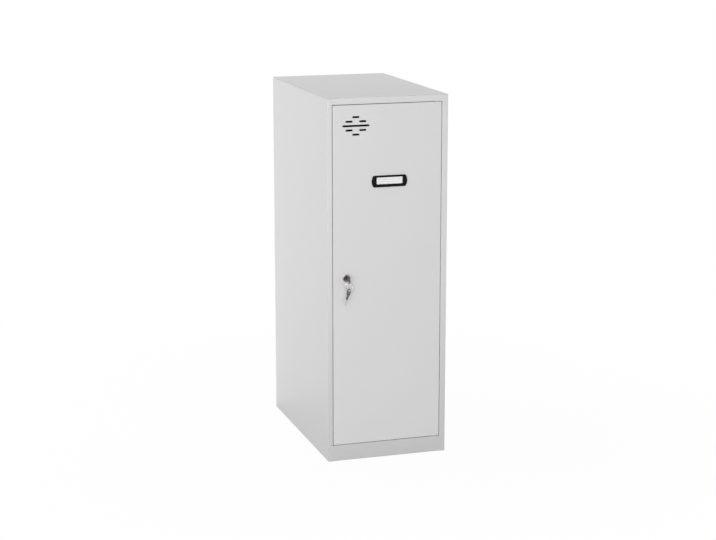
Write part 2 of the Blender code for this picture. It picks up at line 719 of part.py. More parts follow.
def lock_core(turning):
    """The plug with its keyway, the cam on its flatted tail and the screw that holds the cam."""
    at = (LOCK_X, FRONT, LOCK_Z)
    shoulder = LOCK_FACE - PLUG_HEAD
    end = FIT - CAM_FRONT
    tail = FIT - CAM_FRONT - CAM_THICKNESS
    hole = SCREW_RADIUS + FIT
    hole_end = tail + SCREW_LENGTH + FIT
    plug = turned_piece("lock_plug", [
        (0, LOCK_FACE), (PLUG_HEAD_RADIUS, LOCK_FACE), (PLUG_HEAD_RADIUS, shoulder), (PLUG_RADIUS, shoulder),
        (PLUG_RADIUS, end), (TAIL_RADIUS, end), (TAIL_RADIUS, tail), (hole, tail), (hole, hole_end),
        (0, hole_end)])
    place(as_part(plug, NICKEL), at, turning, FACE_FRONT)
    for side, name in ((-1, "left_tail_flat"), (1, "right_tail_flat")):
        inner = LOCK_X + side * TAIL_FLAT
        outer = LOCK_X + side * PLUG_RADIUS
        low = (min(inner, outer), FRONT - end, LOCK_Z - TAIL_RADIUS)
        high = (max(inner, outer), FRONT - tail + FIT, LOCK_Z + TAIL_RADIUS)
        combine(plug, box_cutter(name, low, high, turning))
    half_slot = Vector((KEY_THICKNESS / 2 + FIT, 0, KEY_BLADE / 2 + FIT))
    keyway = box_cutter("keyway", Vector(at) - half_slot - Vector((0, LOCK_FACE + FIT, 0)),
                        Vector(at) + half_slot + Vector((0, KEY_INSERT + FIT, 0)), turning)
    combine(plug, keyway)

    reach = LOCK_FROM_EDGE + DOOR_GAP - STOP_LIP + CAM_BITE
    half_arm = CAM_ARM_WIDTH / 2
    meet = math.degrees(math.asin(half_arm / CAM_HEAD_RADIUS))
    outline = arc((0, 0), CAM_HEAD_RADIUS, meet - 90, 270 - meet, TURN_STEPS)
    outline += arc((0, half_arm - reach), half_arm, 180, 360)
    tail_hole = flatted_circle(TAIL_RADIUS + FIT, TAIL_FLAT + FIT)
    cam = flat_piece("lock_cam", [outline, tail_hole], CAM_THICKNESS)
    cam_y = FRONT + CAM_FRONT + CAM_THICKNESS / 2
    place(as_part(cam, STEEL), (LOCK_X, cam_y, LOCK_Z), turning, FACE_FRONT)

    chamfer = SCREW_HEAD / 4
    screw = turned_piece("cam_screw", [
        (0, SCREW_LENGTH), (SCREW_RADIUS, SCREW_LENGTH), (SCREW_RADIUS, -FIT), (SCREW_HEAD_RADIUS, -FIT),
        (SCREW_HEAD_RADIUS, chamfer - SCREW_HEAD), (SCREW_HEAD_RADIUS - chamfer, -SCREW_HEAD),
        (0, -SCREW_HEAD)])
    place(as_part(screw, STEEL), (LOCK_X, FRONT + CAM_FRONT + CAM_THICKNESS, LOCK_Z), turning, FACE_FRONT)


def key_loops():
    """Outline of a key along +X: bitted blade, neck and round bow with a slot across it for the ring."""
    half_blade = KEY_BLADE / 2
    half_neck = KEY_NECK / 2
    shoulder = LOCK_FACE + FIT
    bow = KEY_REACH - BOW_RADIUS
    meet = math.degrees(math.asin(half_neck / BOW_RADIUS))
    lower_edge = [(-KEY_INSERT, -half_blade / 3), (KEY_TIP - KEY_INSERT, -half_blade)]
    pitch = (KEY_INSERT - KEY_TIP) / (KEY_BITES + 1)
    for number in range(KEY_BITES):
        middle = KEY_TIP - KEY_INSERT + pitch * (number + 1)
        depth = KEY_BITE if number % 2 else KEY_BITE / 2
        lower_edge += [(middle - pitch / 3, -half_blade), (middle, depth - half_blade),
                       (middle + pitch / 3, -half_blade)]
    lower_edge += [(shoulder, -half_blade), (shoulder, -half_neck)]
    upper_edge = [(shoulder, half_neck), (shoulder, half_blade), (KEY_TIP - KEY_INSERT, half_blade),
                  (-KEY_INSERT, half_blade / 3)]
    outline = lower_edge + arc((bow, 0), BOW_RADIUS, meet - 180, 180 - meet, TURN_STEPS) + upper_edge
    slot = [(SLOT_AT - y, x) for x, y in stadium((0, 0), SLOT_LENGTH, SLOT_WIDTH)]
    return [outline, slot]


def keys_and_ring(turning):
    """One key in the lock, the ring in its slot and the spare key that hangs from the ring."""
    lock = Vector((LOCK_X, FRONT, LOCK_Z))
    key_slide = axis_empty("key_slide_axis", lock, turning)
    key = flat_piece("key", key_loops(), KEY_THICKNESS)
    place(as_part(key, NICKEL), lock, key_slide, KEY_FORWARD)

    ring_y = FRONT - SLOT_AT
    ring_swing = axis_empty("ring_swing_axis", (LOCK_X, ring_y, RING_TOP - RING_ROLL), key_slide)
    bpy.ops.mesh.primitive_torus_add(major_radius=RING_RADIUS, minor_radius=RING_WIRE,
                                     major_segments=RING_STEPS, minor_segments=WIRE_STEPS)
    ring = bpy.context.object
    bpy.context.collection.objects.unlink(ring)
    ring.name = "key_ring"
    ring.data.shade_smooth()
    place(as_part(ring, NICKEL), (LOCK_X, ring_y, RING_TOP - RING_RADIUS), ring_swing, FACE_FRONT)

    pivot = Vector((LOCK_X, ring_y, RING_BOTTOM + RING_ROLL))
    spare_swing = axis_empty("spare_key_swing_axis", pivot, ring_swing)
    slot_below = Vector((0, 0, FIT + RING_WIRE - SLOT_WIDTH / 2 - RING_ROLL))
    lean = Matrix.Rotation(SPARE_LEAN, 4, "Y")
    blade_down = Matrix.Rotation(math.radians(-90), 4, "X") @ KEY_FORWARD
    hang = Matrix.Rotation(SPARE_TWIST, 4, "Z") @ blade_down
    turn = lean @ hang
    spare = flat_piece("spare_key", key_loops(), KEY_THICKNESS)
    slot_place = pivot + lean @ slot_below
    place(as_part(spare, NICKEL), slot_place - turn @ Vector((SLOT_AT, 0, 0)), spare_swing, turn)


def build():
    left_panel = side_panels()
    back_panel()
    roof_panel()
    floor_panel()
    coat_rail(*shelf_and_ledges())
    door_bumpers(left_panel)
    hinge_bushes()
    door_hinge = axis_empty("door_hinge_axis", (HINGE_X, HINGE_Y, DOOR_BOTTOM))
    bore = pin_bore(door_hinge)
    door_panel(door_hinge, bore)
    hinge_hardware(door_hinge, bore)
    door_stiffener(door_hinge)
    label_holder(door_hinge)
    lock_body(door_hinge)
    lock_turn = axis_empty("lock_turn_axis", (LOCK_X, FRONT, LOCK_Z), door_hinge)
    lock_core(lock_turn)
    keys_and_ring(lock_turn)


clear_scene()
PARTS = new_collection("metal_locker")
CUTTERS = new_collection("locker_cutters")
PAINT = new_material("light_grey_paint", (0.62, 0.62, 0.62), 0.42, 0.0)
STEEL = new_material("zinc_plated_steel", (0.56, 0.57, 0.58), 0.38, 1.0)
NICKEL = new_material("nickel_plate", (0.50, 0.48, 0.44), 0.28, 1.0)
BLACK = new_material("black_plastic", (0.012, 0.012, 0.012), 0.45, 0.0)
CLEAR = new_material("clear_film", (0.90, 0.91, 0.91), 0.12, 0.0)
PAPER = new_material("white_card", (0.80, 0.80, 0.78), 0.85, 0.0)
RUBBER = new_material("dark_rubber", (0.03, 0.03, 0.03), 0.80, 0.0)
NYLON = new_material("white_nylon", (0.75, 0.75, 0.72), 0.50, 0.0)
build()
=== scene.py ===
import json

import bmesh
import bpy
import numpy as np
from mathutils import Matrix, Vector

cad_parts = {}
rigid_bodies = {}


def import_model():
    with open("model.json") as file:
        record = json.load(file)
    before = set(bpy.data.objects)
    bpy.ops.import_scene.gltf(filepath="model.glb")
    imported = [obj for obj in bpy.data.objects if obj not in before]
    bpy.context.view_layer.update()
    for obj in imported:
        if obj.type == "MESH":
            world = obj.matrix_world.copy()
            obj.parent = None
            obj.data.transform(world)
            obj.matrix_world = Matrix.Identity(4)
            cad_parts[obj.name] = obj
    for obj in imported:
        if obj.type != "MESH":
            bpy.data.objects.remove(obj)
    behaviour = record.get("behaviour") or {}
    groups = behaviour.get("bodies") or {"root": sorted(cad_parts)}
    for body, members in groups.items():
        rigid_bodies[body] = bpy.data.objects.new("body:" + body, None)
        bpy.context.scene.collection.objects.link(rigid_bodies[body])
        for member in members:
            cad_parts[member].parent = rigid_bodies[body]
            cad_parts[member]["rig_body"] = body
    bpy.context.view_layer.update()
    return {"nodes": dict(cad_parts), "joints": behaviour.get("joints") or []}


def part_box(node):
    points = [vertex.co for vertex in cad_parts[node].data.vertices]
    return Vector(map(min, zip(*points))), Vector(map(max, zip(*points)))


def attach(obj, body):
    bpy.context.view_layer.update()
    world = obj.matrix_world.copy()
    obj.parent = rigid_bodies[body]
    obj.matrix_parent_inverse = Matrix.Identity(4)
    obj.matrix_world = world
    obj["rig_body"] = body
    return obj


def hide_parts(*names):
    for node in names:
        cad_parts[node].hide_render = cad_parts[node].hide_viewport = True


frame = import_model()
nodes = frame["nodes"]
jointPlaces = {joint["name"]: joint.get("pos_m") for joint in frame["joints"]}
doorLow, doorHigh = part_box("door_panel")
doorFront = doorLow.y
print("frame loaded:", len(nodes), "nodes")

# Mesh tools. Lengths are metres, angles degrees.

meshes = {"merge": 1e-6, "crease": 35, "flatWeight": 100, "around": 96, "rounding": 6, "leastSlope": 1e-9}

turn = np.linspace(0, 2 * np.pi, meshes["around"], endpoint=False)  # a loop's angles, once round
upright = ((1, 0, 0), (0, 1, 0), (0, 0, 1))
upsideDown = ((1, 0, 0), (0, -1, 0), (0, 0, -1))
facingFront = ((1, 0, 0), (0, 0, 1), (0, -1, 0))
facingBack = ((-1, 0, 0), (0, 0, 1), (0, 1, 0))
facingRight = ((0, 1, 0), (0, 0, 1), (1, 0, 0))
facingLeft = ((0, -1, 0), (0, 0, 1), (-1, 0, 0))


def softLine(corners, setback, closed=False):
    # a corner c whose sides run along L and N becomes the parabola c + (1 - s)^2 L + s^2 N, s from 0 to 1
    corners = np.asarray(corners, float)
    reach = np.array(np.broadcast_to(setback, len(corners)), float)
    if not closed:
        reach[[0, -1]] = 0
    last = np.roll(corners, 1, axis=0) - corners
    following = np.roll(corners, -1, axis=0) - corners
    last *= (reach / np.linalg.norm(last, axis=1))[:, None]
    following *= (reach / np.linalg.norm(following, axis=1))[:, None]
    share = np.linspace(0, 1, meshes["rounding"])[None, :, None]
    line = corners[:, None] + (1 - share) ** 2 * last[:, None] + share ** 2 * following[:, None]
    return line.reshape(-1, 2)


def turned(profile):
    # (radius, height) points carried round an axis: x = r cos t, y = r sin t, z = height
    radius, height = np.asarray(profile, float).T[..., None]
    return np.stack(np.broadcast_arrays(radius * np.cos(turn), radius * np.sin(turn), height), axis=-1)


def polar(radii, heights):
    # rows of one radius for each angle, each row at its own height
    radii = np.array(np.broadcast_arrays(*radii, turn)[:-1])
    heights = np.broadcast_to(np.asarray(heights, float)[:, None], radii.shape)
    return np.stack([radii * np.cos(turn), radii * np.sin(turn), heights], axis=-1)


def rayTo(distance, slope):
    # how far out rays meet a straight edge: its distance / each ray's share towards it
    return distance / np.maximum(slope, meshes["leastSlope"])


def rayToCircle(along, centre, radius):
    # how far out rays leave a circle whose centre lies on the axis: c a + root of (c a)^2 - c^2 + r^2
    reach = centre * along
    return reach + np.sqrt(np.maximum(reach ** 2 - centre ** 2 + radius ** 2, 0))


def squaredLoop(halfWidth, halfHeight, squareness):
    # a superellipse: cos t and sin t, divided by the root of the sum of their powers; 2 gives an ellipse
    cosine, sine = np.cos(turn), np.sin(turn)
    size = (np.abs(cosine) ** squareness + np.abs(sine) ** squareness) ** (1 / squareness)
    return np.stack([halfWidth * cosine / size, halfHeight * sine / size], axis=-1)


def thinned(loops, sides):
    # evenly spaced points of each loop, so many to a turn
    return loops[..., ::meshes["around"] // sides, :]


def stacked(loops, heights):
    # loops of (x, y) points, each at its own height
    loops = np.asarray(loops, float)
    heights = np.broadcast_to(np.asarray(heights, float)[:, None, None], loops.shape[:2] + (1,))
    return np.concatenate([loops, heights], axis=-1)


def withEnds(grid):
    # the first and last row of a grid drawn together to their middles
    first, last = [np.broadcast_to(grid[row].mean(axis=0), grid[row].shape)[None] for row in (0, -1)]
    return np.concatenate([first, grid, last])


def shell(grid, at=(0, 0, 0), axes=upright, ring=False):
    # quads between neighbouring points of a grid; every row is a loop, and a ring's last row meets its first
    rows, columns = grid.shape[:2]
    row, column = np.meshgrid(np.arange(rows if ring else rows - 1), np.arange(columns), indexing="ij")
    nextRow = (row + 1) % rows
    nextColumn = (column + 1) % columns
    quads = np.stack([row * columns + column, row * columns + nextColumn,
                      nextRow * columns + nextColumn, nextRow * columns + column], axis=-1)
    points = grid.reshape(-1, 3) @ np.asarray(axes, float) + np.asarray(at, float)
    return points, quads.reshape(-1, 4)


def copies(part, places):
    # the same shell moved to every place
    points, quads = part
    places = np.asarray(places, float)
    number = np.arange(len(places))[:, None, None]
    return (points + places[:, None]).reshape(-1, 3), (quads + number * len(points)).reshape(-1, 4)


def weld(mesh, turnOut):
    # points that lie together become one, and where asked the faces are turned outwards
    bm = bmesh.new()
    bm.from_mesh(mesh)
    bmesh.ops.remove_doubles(bm, verts=bm.verts, dist=meshes["merge"])
    if turnOut:
        bmesh.ops.recalc_face_normals(bm, faces=bm.faces)
    bm.to_mesh(mesh)
    bm.free()


def meshOf(name, *shells):
    # shells one after another in one mesh, each one's quads counted on from the points before it
    starts = np.cumsum([0] + [len(points) for points, quads in shells])[:-1]
    allPoints = np.concatenate([points for points, quads in shells])
    allQuads = np.concatenate([quads + start for (points, quads), start in zip(shells, starts)])
    mesh = bpy.data.meshes.new(name)
    mesh.from_pydata(allPoints.tolist(), [], allQuads.tolist())
    weld(mesh, True)
    return mesh


def addPiece(name, mesh, finish, node, replace=True):
    # a piece moves with the node that it stands for or sits on, wears the finish given, and hides the node
    # that it stands for
    mesh.materials.clear()
    mesh.materials.append(finish)
    mesh.shade_smooth()
    mesh.set_sharp_from_angle(angle=np.radians(meshes["crease"]))
    piece = bpy.data.objects.new(name, mesh)
    bpy.context.scene.collection.objects.link(piece)
    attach(piece, nodes[node]["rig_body"])
    if replace:
        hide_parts(node)
    return piece


# Shader tools


class Wire:
    # one output of a shader node; arithmetic on it adds Math nodes
    def __init__(self, tree, socket=None):
        self.tree = tree
        self.socket = socket

    def add(self, kind, settings, inputs, output=0):
        node = self.tree.nodes.new(kind)
        for name, value in settings.items():
            setattr(node, name, value)
        for name, value in inputs.items():
            if isinstance(value, Wire):
                self.tree.links.new(value.socket, node.inputs[name])
            else:
                node.inputs[name].default_value = value
        return Wire(self.tree, node.outputs[output]) if node.outputs else None

    def other(self, output):
        return Wire(self.tree, self.socket.node.outputs[output])

    def calc(self, operation, *values):
        return self.add("ShaderNodeMath", {"operation": operation}, dict(enumerate(values)))

    def __abs__(self):
        return self.calc("ABSOLUTE", self)

    def __add__(self, value):
        return self.calc("ADD", self, value)

    def __radd__(self, value):
        return self.calc("ADD", value, self)

    def __sub__(self, value):
        return self.calc("SUBTRACT", self, value)

    def __rsub__(self, value):
        return self.calc("SUBTRACT", value, self)

    def __mul__(self, value):
        return self.calc("MULTIPLY", self, value)

    def __rmul__(self, value):
        return self.calc("MULTIPLY", value, self)


def newFinish(name):
    material = bpy.data.materials.new(name)
    material.use_nodes = True
    material.node_tree.nodes.clear()
    return material, Wire(material.node_tree).add("ShaderNodeTexCoord", {}, {}, "Object")


def closeFinish(place, sockets):
    shader = place.add("ShaderNodeBsdfPrincipled", {}, sockets)
    place.add("ShaderNodeOutputMaterial", {}, {"Surface": shader})


def noise(place, size, detail=2):
    # cloudy values round 0.5 with features of that size
    return place.add("ShaderNodeTexNoise", {}, {"Vector": place, "Scale": 1 / size, "Detail": detail})


def streaks(place, size, stretch):
    # noise drawn out along the axes where stretch is small
    return noise(place.add("ShaderNodeMapping", {}, {"Vector": place, "Scale": stretch}), size)


def spread(middle, width, pattern):
    # the middle, give or take half the width as the pattern goes from 0 to 1
    return middle + width * (pattern - 0.5)


def ramp(value, start, stop, low, high):
    # a smooth step from low to high while the value goes from start to stop
    return value.add("ShaderNodeMapRange", {"interpolation_type": "SMOOTHSTEP"},
                     {"Value": value, "From Min": start, "From Max": stop, "To Min": low, "To Max": high})


def blend(factor, first, second):
    # the first colour at 0 and the second at 1; a Mix node's colours are its inputs 6 and 7 and its output 2
    return factor.add("ShaderNodeMix", {"data_type": "RGBA"},
                      {0: factor, 6: (*first, 1), 7: (*second, 1)}, 2)


def bump(height, depth):
    # a pattern as relief of that depth
    return height.add("ShaderNodeBump", {}, {"Distance": depth, "Height": height})


# Finishes

# the cabinet's front carries painted shade, greyer towards the floor; the door has none
paint = {"tone": 0.65, "roughness": 0.36, "roughSpread": 0.10, "cloudSize": 0.14, "cloudDetail": 4,
         "clouds": 0.025, "peelSize": 0.0021, "peelDepth": 0.00002, "cabinetPaintedShade": 0.145, "doorPaintedShade": 0.0,
         "paintedShadeTop": 0.55, "paintedShadeDepth": (0.0005, 0.0020)}


def paintFinish(name, paintedShade):
    # powder coat with orange peel in the gloss and faint clouds in the grey; its front, as far back as the
    # depth given in the paint table, carries painted shade: greyer towards the floor
    material, place = newFinish(name)
    peel = noise(place, paint["peelSize"])
    clouds = noise(place, paint["cloudSize"], paint["cloudDetail"])
    height = place.add("ShaderNodeSeparateXYZ", {}, {0: place}, "Z")
    near, far = paint["paintedShadeDepth"]
    atFront = ramp(height.other("Y"), doorFront + near, doorFront + far, 1.0, 0.0)
    # painted shade: the front grows greyer towards the floor, as if less light reached it there
    paintedShadeMask = atFront * ramp(height, 0.0, paint["paintedShadeTop"], paintedShade, 0.0)
    closeFinish(place, {"Base Color": paint["tone"] * spread(1, paint["clouds"], clouds) * (1 - paintedShadeMask),
                        "Roughness": spread(paint["roughness"], paint["roughSpread"], peel),
                        "Normal": bump(peel, paint["peelDepth"])})
    return material


zinc = {"bright": (0.62, 0.63, 0.64), "dull": (0.47, 0.48, 0.50), "spangleSize": 0.006, "spangleDetail": 3,
        "brushSize": 0.0011, "brushStretch": (0.12, 1.0, 1.0), "roughness": 0.30, "roughSpread": 0.22,
        "brushDepth": 0.00001}


def zincFinish(name):
    # bright zinc plate: soft spangle in the tone, fine drawing lines in the gloss
    material, place = newFinish(name)
    spangle = noise(place, zinc["spangleSize"], zinc["spangleDetail"])
    lines = streaks(place, zinc["brushSize"], zinc["brushStretch"])
    closeFinish(place, {"Base Color": blend(spangle, zinc["dull"], zinc["bright"]),
                        "Metallic": 1.0,
                        "Roughness": spread(zinc["roughness"], zinc["roughSpread"], lines),
                        "Normal": bump(lines, zinc["brushDepth"])})
    return material


nickel = {"wornSize": 0.004, "wornDetail": 3, "wornFrom": (0.35, 0.70), "wornRough": 0.1,
          "scratchSize": 0.0006, "scratchStretch": (1.0, 0.2, 0.08), "scratchDepth": 0.000004,
          "roughness": 0.20, "roughSpread": 0.22}
nickelTones = {"bezel": ((0.50, 0.48, 0.44), (0.34, 0.325, 0.30)),
               # painted shade: the plug is toned dark for the shade in its keyway and recess
               "plug": ((0.22, 0.21, 0.19), (0.12, 0.115, 0.10)),
               # painted shade: the key bows are toned dark for the dark reflections they show; the blades
               # are toned lighter
               "bows": ((0.19, 0.18, 0.165), (0.12, 0.115, 0.105)),
               "blades": ((0.64, 0.62, 0.58), (0.50, 0.48, 0.44)),
               "ring": ((0.58, 0.57, 0.52), (0.44, 0.43, 0.38))}


def nickelFinish(name, tones):
    # nickel plate: handled patches a little darker and duller, hairline scratches in the gloss
    material, place = newFinish(name)
    worn = ramp(noise(place, nickel["wornSize"], nickel["wornDetail"]), *nickel["wornFrom"], 0.0, 1.0)
    scratches = streaks(place, nickel["scratchSize"], nickel["scratchStretch"])
    scratched = spread(nickel["roughness"], nickel["roughSpread"], scratches)
    closeFinish(place, {"Base Color": blend(worn, *tones),
                        "Metallic": 1.0,
                        "Roughness": scratched + nickel["wornRough"] * worn,
                        "Normal": bump(scratches, nickel["scratchDepth"])})
    return material


moulded = {"grainSize": 0.0007, "grainDetail": 3, "cloudSize": 0.01, "roughSpread": 0.12}
mouldings = {"blackPlastic": {"low": (0.003, 0.003, 0.003), "high": (0.006, 0.006, 0.006), "rough": 0.45,
                              "shine": 0.08, "depth": 0.000015},
             "rubber": {"low": (0.018, 0.018, 0.018), "high": (0.035, 0.034, 0.033), "rough": 0.75,
                        "shine": 0.3, "depth": 0.00003},
             "nylon": {"low": (0.70, 0.70, 0.66), "high": (0.78, 0.78, 0.75), "rough": 0.48,
                       "shine": 0.5, "depth": 0.00001}}


def mouldedFinish(name):
    # plastic or rubber with a fine spark-eroded grain
    look = mouldings[name]
    material, place = newFinish(name)
    grain = noise(place, moulded["grainSize"], moulded["grainDetail"])
    clouds = noise(place, moulded["cloudSize"])
    closeFinish(place, {"Base Color": blend(clouds, look["low"], look["high"]),
                        "Roughness": spread(look["rough"], moulded["roughSpread"], grain),
                        "Specular IOR Level": look["shine"],
                        "Normal": bump(grain, look["depth"])})
    return material


film = {"tone": (0.95, 0.95, 0.95, 1), "alpha": 0.10, "haze": 0.10, "hazeSize": 0.012, "hazeDetail": 3,
        "roughness": 0.08, "hazeRough": 0.06}


def filmFinish():
    # clear film with a trace of haze
    material, place = newFinish("clearFilm")
    haze = noise(place, film["hazeSize"], film["hazeDetail"])
    closeFinish(place, {"Base Color": film["tone"],
                        "Alpha": spread(film["alpha"], film["haze"], haze),
                        "Roughness": film["roughness"] + film["hazeRough"] * haze})
    return material


card = {"paper": (0.88, 0.88, 0.87), "rule": (0.50, 0.51, 0.52), "lineGap": 0.0050, "lineHeight": 0.0006,
        "margin": 0.006, "fibreSize": 0.0012, "fibreStretch": (0.2, 1.0, 1.0), "fibreDepth": 0.00002,
        "roughness": 0.75, "fibreRough": 0.15}


def cardFinish(middle, halfLength):
    # blank card with two pale ruled lines to write on, half a gap above and half a gap below its middle
    material, place = newFinish("blankCard")
    fibres = streaks(place, card["fibreSize"], card["fibreStretch"])
    height = place.add("ShaderNodeSeparateXYZ", {}, {0: place}, "Z")
    above = height - middle.z
    aside = height.other("X") - middle.x
    gap, line = card["lineGap"], card["lineHeight"]
    fromLine = above.calc("PINGPONG", above - gap / 2, gap / 2)
    ruled = ramp(fromLine, line / 2, line, 1.0, 0.0)
    end = halfLength - card["margin"]
    within = ramp(abs(aside), end, end + line, 1.0, 0.0)
    inBlock = ramp(abs(above), gap, gap + line, 1.0, 0.0)
    closeFinish(place, {"Base Color": blend(ruled * within * inBlock, card["paper"], card["rule"]),
                        "Roughness": card["roughness"] + card["fibreRough"] * fibres,
                        "Normal": bump(fibres, card["fibreDepth"])})
    return material


cabinetPaint = paintFinish("cabinetPaint", paint["cabinetPaintedShade"])
doorPaint = paintFinish("doorPaint", paint["doorPaintedShade"])
zincPlate = zincFinish("zincPlate")
nickelPlates = {part: nickelFinish(part + "Nickel", tones) for part, tones in nickelTones.items()}
blackPlastic = mouldedFinish("blackPlastic")
rubber = mouldedFinish("rubber")
nylon = mouldedFinish("nylon")
clearFilm = filmFinish()
print("finishes made")

# Folded sheets keep the shape of their nodes: merged copies, with the bends smooth and the flats flat

sheets = {"left_side_panel": cabinetPaint, "right_side_panel": cabinetPaint, "back_panel": cabinetPaint,
          "roof_panel": cabinetPaint, "floor_panel": cabinetPaint, "shelf": cabinetPaint,
          "left_shelf_ledge": cabinetPaint, "right_shelf_ledge": cabinetPaint, "door_panel": doorPaint,
          "door_stiffener": doorPaint, "upper_hinge_bracket": zincPlate, "lower_hinge_bracket": zincPlate}


def foldedSheet(node, finish):
    mesh = nodes[node].data.copy()
    if "custom_normal" in mesh.attributes:
        mesh.attributes.remove(mesh.attributes["custom_normal"])
    weld(mesh, False)
    piece = addPiece(node + "_sheet", mesh, finish, node)
    flats = piece.modifiers.new("Flats stay flat", "WEIGHTED_NORMAL")
    flats.keep_sharp = True
    flats.weight = meshes["flatWeight"]


for node, finish in sheets.items():
    foldedSheet(node, finish)
print("sheets made:", len(sheets))

# Corners of the front frame, welded where the rail and the plinth meet the stiles, ground flush and painted

corners = {"reach": 0.0017, "past": 0.0003, "depth": 0.0013, "recess": 0.00002, "squareness": 10,
           "end": 0.0012, "clear": 0.0001}
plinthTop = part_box("floor_panel")[1].z
doorGap = doorLow.z - plinthTop
railBottom = doorHigh.z + doorGap
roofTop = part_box("roof_panel")[1].z


def frameCorner(name, side, bottom, top):
    # a squared loop stood between two heights, in the groove beside the stile's fold
    inward = 1 if side == "left" else -1
    fold = doorLow.x - doorGap if side == "left" else doorHigh.x + doorGap
    halfWidth = (corners["reach"] + corners["past"]) / 2
    halfDepth = corners["depth"] / 2
    middle = (fold + inward * (corners["past"] - halfWidth), doorFront + corners["recess"] + halfDepth, 0)
    loop = squaredLoop(halfWidth, halfDepth, corners["squareness"])
    grid = stacked([0 * loop, loop, loop, 0 * loop], [bottom, bottom, top, top])
    addPiece(name, meshOf(name, shell(grid, middle)), cabinetPaint, side + "_side_panel", False)


for side in ("left", "right"):
    frameCorner(side + "_rail_weld", side, railBottom + corners["end"], roofTop - corners["end"])
    frameCorner(side + "_plinth_weld", side, corners["clear"], plinthTop - corners["end"])
print("frame corners made")

# Spot welds that hold the ledges and the door's stiffener

welds = {"radius": 0.0026, "rise": 0.00018, "sunk": 0.0001, "sides": 16, "sheet": 0.0008, "onLedge": 6,
         "ledgeEnd": 0.030, "onStiffener": 9, "stiffenerEnd": 0.040, "stiffenerFoot": 0.008}


def weldDome(axes):
    # height falls with the square of the distance from the middle
    radius = np.linspace(0, welds["radius"], meshes["rounding"])
    height = welds["rise"] * (1 - (radius / welds["radius"]) ** 2)
    outline = np.stack([radius, height], axis=-1)
    profile = np.concatenate([outline, [(welds["radius"], -welds["sunk"]), (0, -welds["sunk"])]])
    return shell(thinned(turned(profile), welds["sides"]), axes=axes)


def ledgeWelds(side, axes):
    # a row of domes evenly spaced along the ledge, at half its height
    node = side + "_shelf_ledge"
    low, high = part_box(node)
    inner = low.x + welds["sheet"] if side == "left" else high.x - welds["sheet"]
    along = np.linspace(low.y + welds["ledgeEnd"], high.y - welds["ledgeEnd"], welds["onLedge"])
    places = np.stack(np.broadcast_arrays(inner, along, (low.z + high.z) / 2), axis=-1)
    mesh = meshOf("welds", copies(weldDome(axes), places))
    addPiece(side + "_ledge_welds", mesh, cabinetPaint, node, False)


def stiffenerWelds():
    # two columns of domes, along the middle of each foot
    low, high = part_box("door_stiffener")
    up = np.linspace(low.z + welds["stiffenerEnd"], high.z - welds["stiffenerEnd"], welds["onStiffener"])
    across = np.array([low.x + welds["stiffenerFoot"] / 2, high.x - welds["stiffenerFoot"] / 2])
    across, up = np.meshgrid(across, up)
    places = np.stack([across.ravel(), np.full(across.size, low.y + welds["sheet"]), up.ravel()], axis=-1)
    mesh = meshOf("welds", copies(weldDome(facingBack), places))
    addPiece("stiffener_welds", mesh, doorPaint, "door_stiffener", False)


ledgeWelds("left", facingRight)
ledgeWelds("right", facingLeft)
stiffenerWelds()
print("welds made")

# Screws with a cross recess, for the lock's cam and the rail's sockets; shares of a head's radius or height

crossHead = {"arm": 0.50, "halfArm": 0.13, "floorReach": 0.6, "floorHeight": 0.35, "mouthHeight": 0.97,
             "dome": ((0.68, 1.0), (0.84, 0.92), (0.94, 0.72), (1.0, 0.42), (1.0, 0.0))}


def crossLoop(arm, half):
    # a plus sign in polar form: along an arm the end is arm / cos a, beside it the flank is half / sin a
    angle = np.abs((turn + np.pi / 4) % (np.pi / 2) - np.pi / 4)
    return np.minimum(arm / np.cos(angle), rayTo(half, np.sin(angle)))


def crossScrew(radius, height, shank, length):
    # from the middle of the recess out over the dome, then in under the head and down the shank
    cross = crossLoop(crossHead["arm"] * radius, crossHead["halfArm"] * radius)
    domeRadii, domeHeights = np.array(crossHead["dome"]).T
    floor = crossHead["floorHeight"] * height
    radii = [0, crossHead["floorReach"] * cross, cross, *(domeRadii * radius), shank, shank, 0]
    heights = [floor, floor, crossHead["mouthHeight"] * height, *(domeHeights * height), 0, -length, -length]
    return polar(radii, heights)


# Coat rail and its sockets

rail = {"wall": 0.0012, "endRounding": 0.0004}
socket = {"plate": 0.0015, "bore": 0.0083, "collar": 0.0108, "rounding": 0.0005, "fillet": 0.0008,
          "screwRadius": 0.0018, "screwRise": 0.0009, "screwShank": 0.0008, "screwLength": 0.0012}


def coatRail():
    # a tube's wall, as a closed profile carried round the rail's axis
    low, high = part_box("coat_rail")
    middle = (low + high) / 2
    radius = (high.z - low.z) / 2
    length = high.x - low.x
    tube = [(radius - rail["wall"], 0), (radius, 0), (radius, length), (radius - rail["wall"], length)]
    grid = turned(softLine(tube, rail["endRounding"], True))
    mesh = meshOf("rail", shell(grid, (low.x, middle.y, middle.z), facingRight, True))
    addPiece("coat_rail_tube", mesh, zincPlate, "coat_rail")


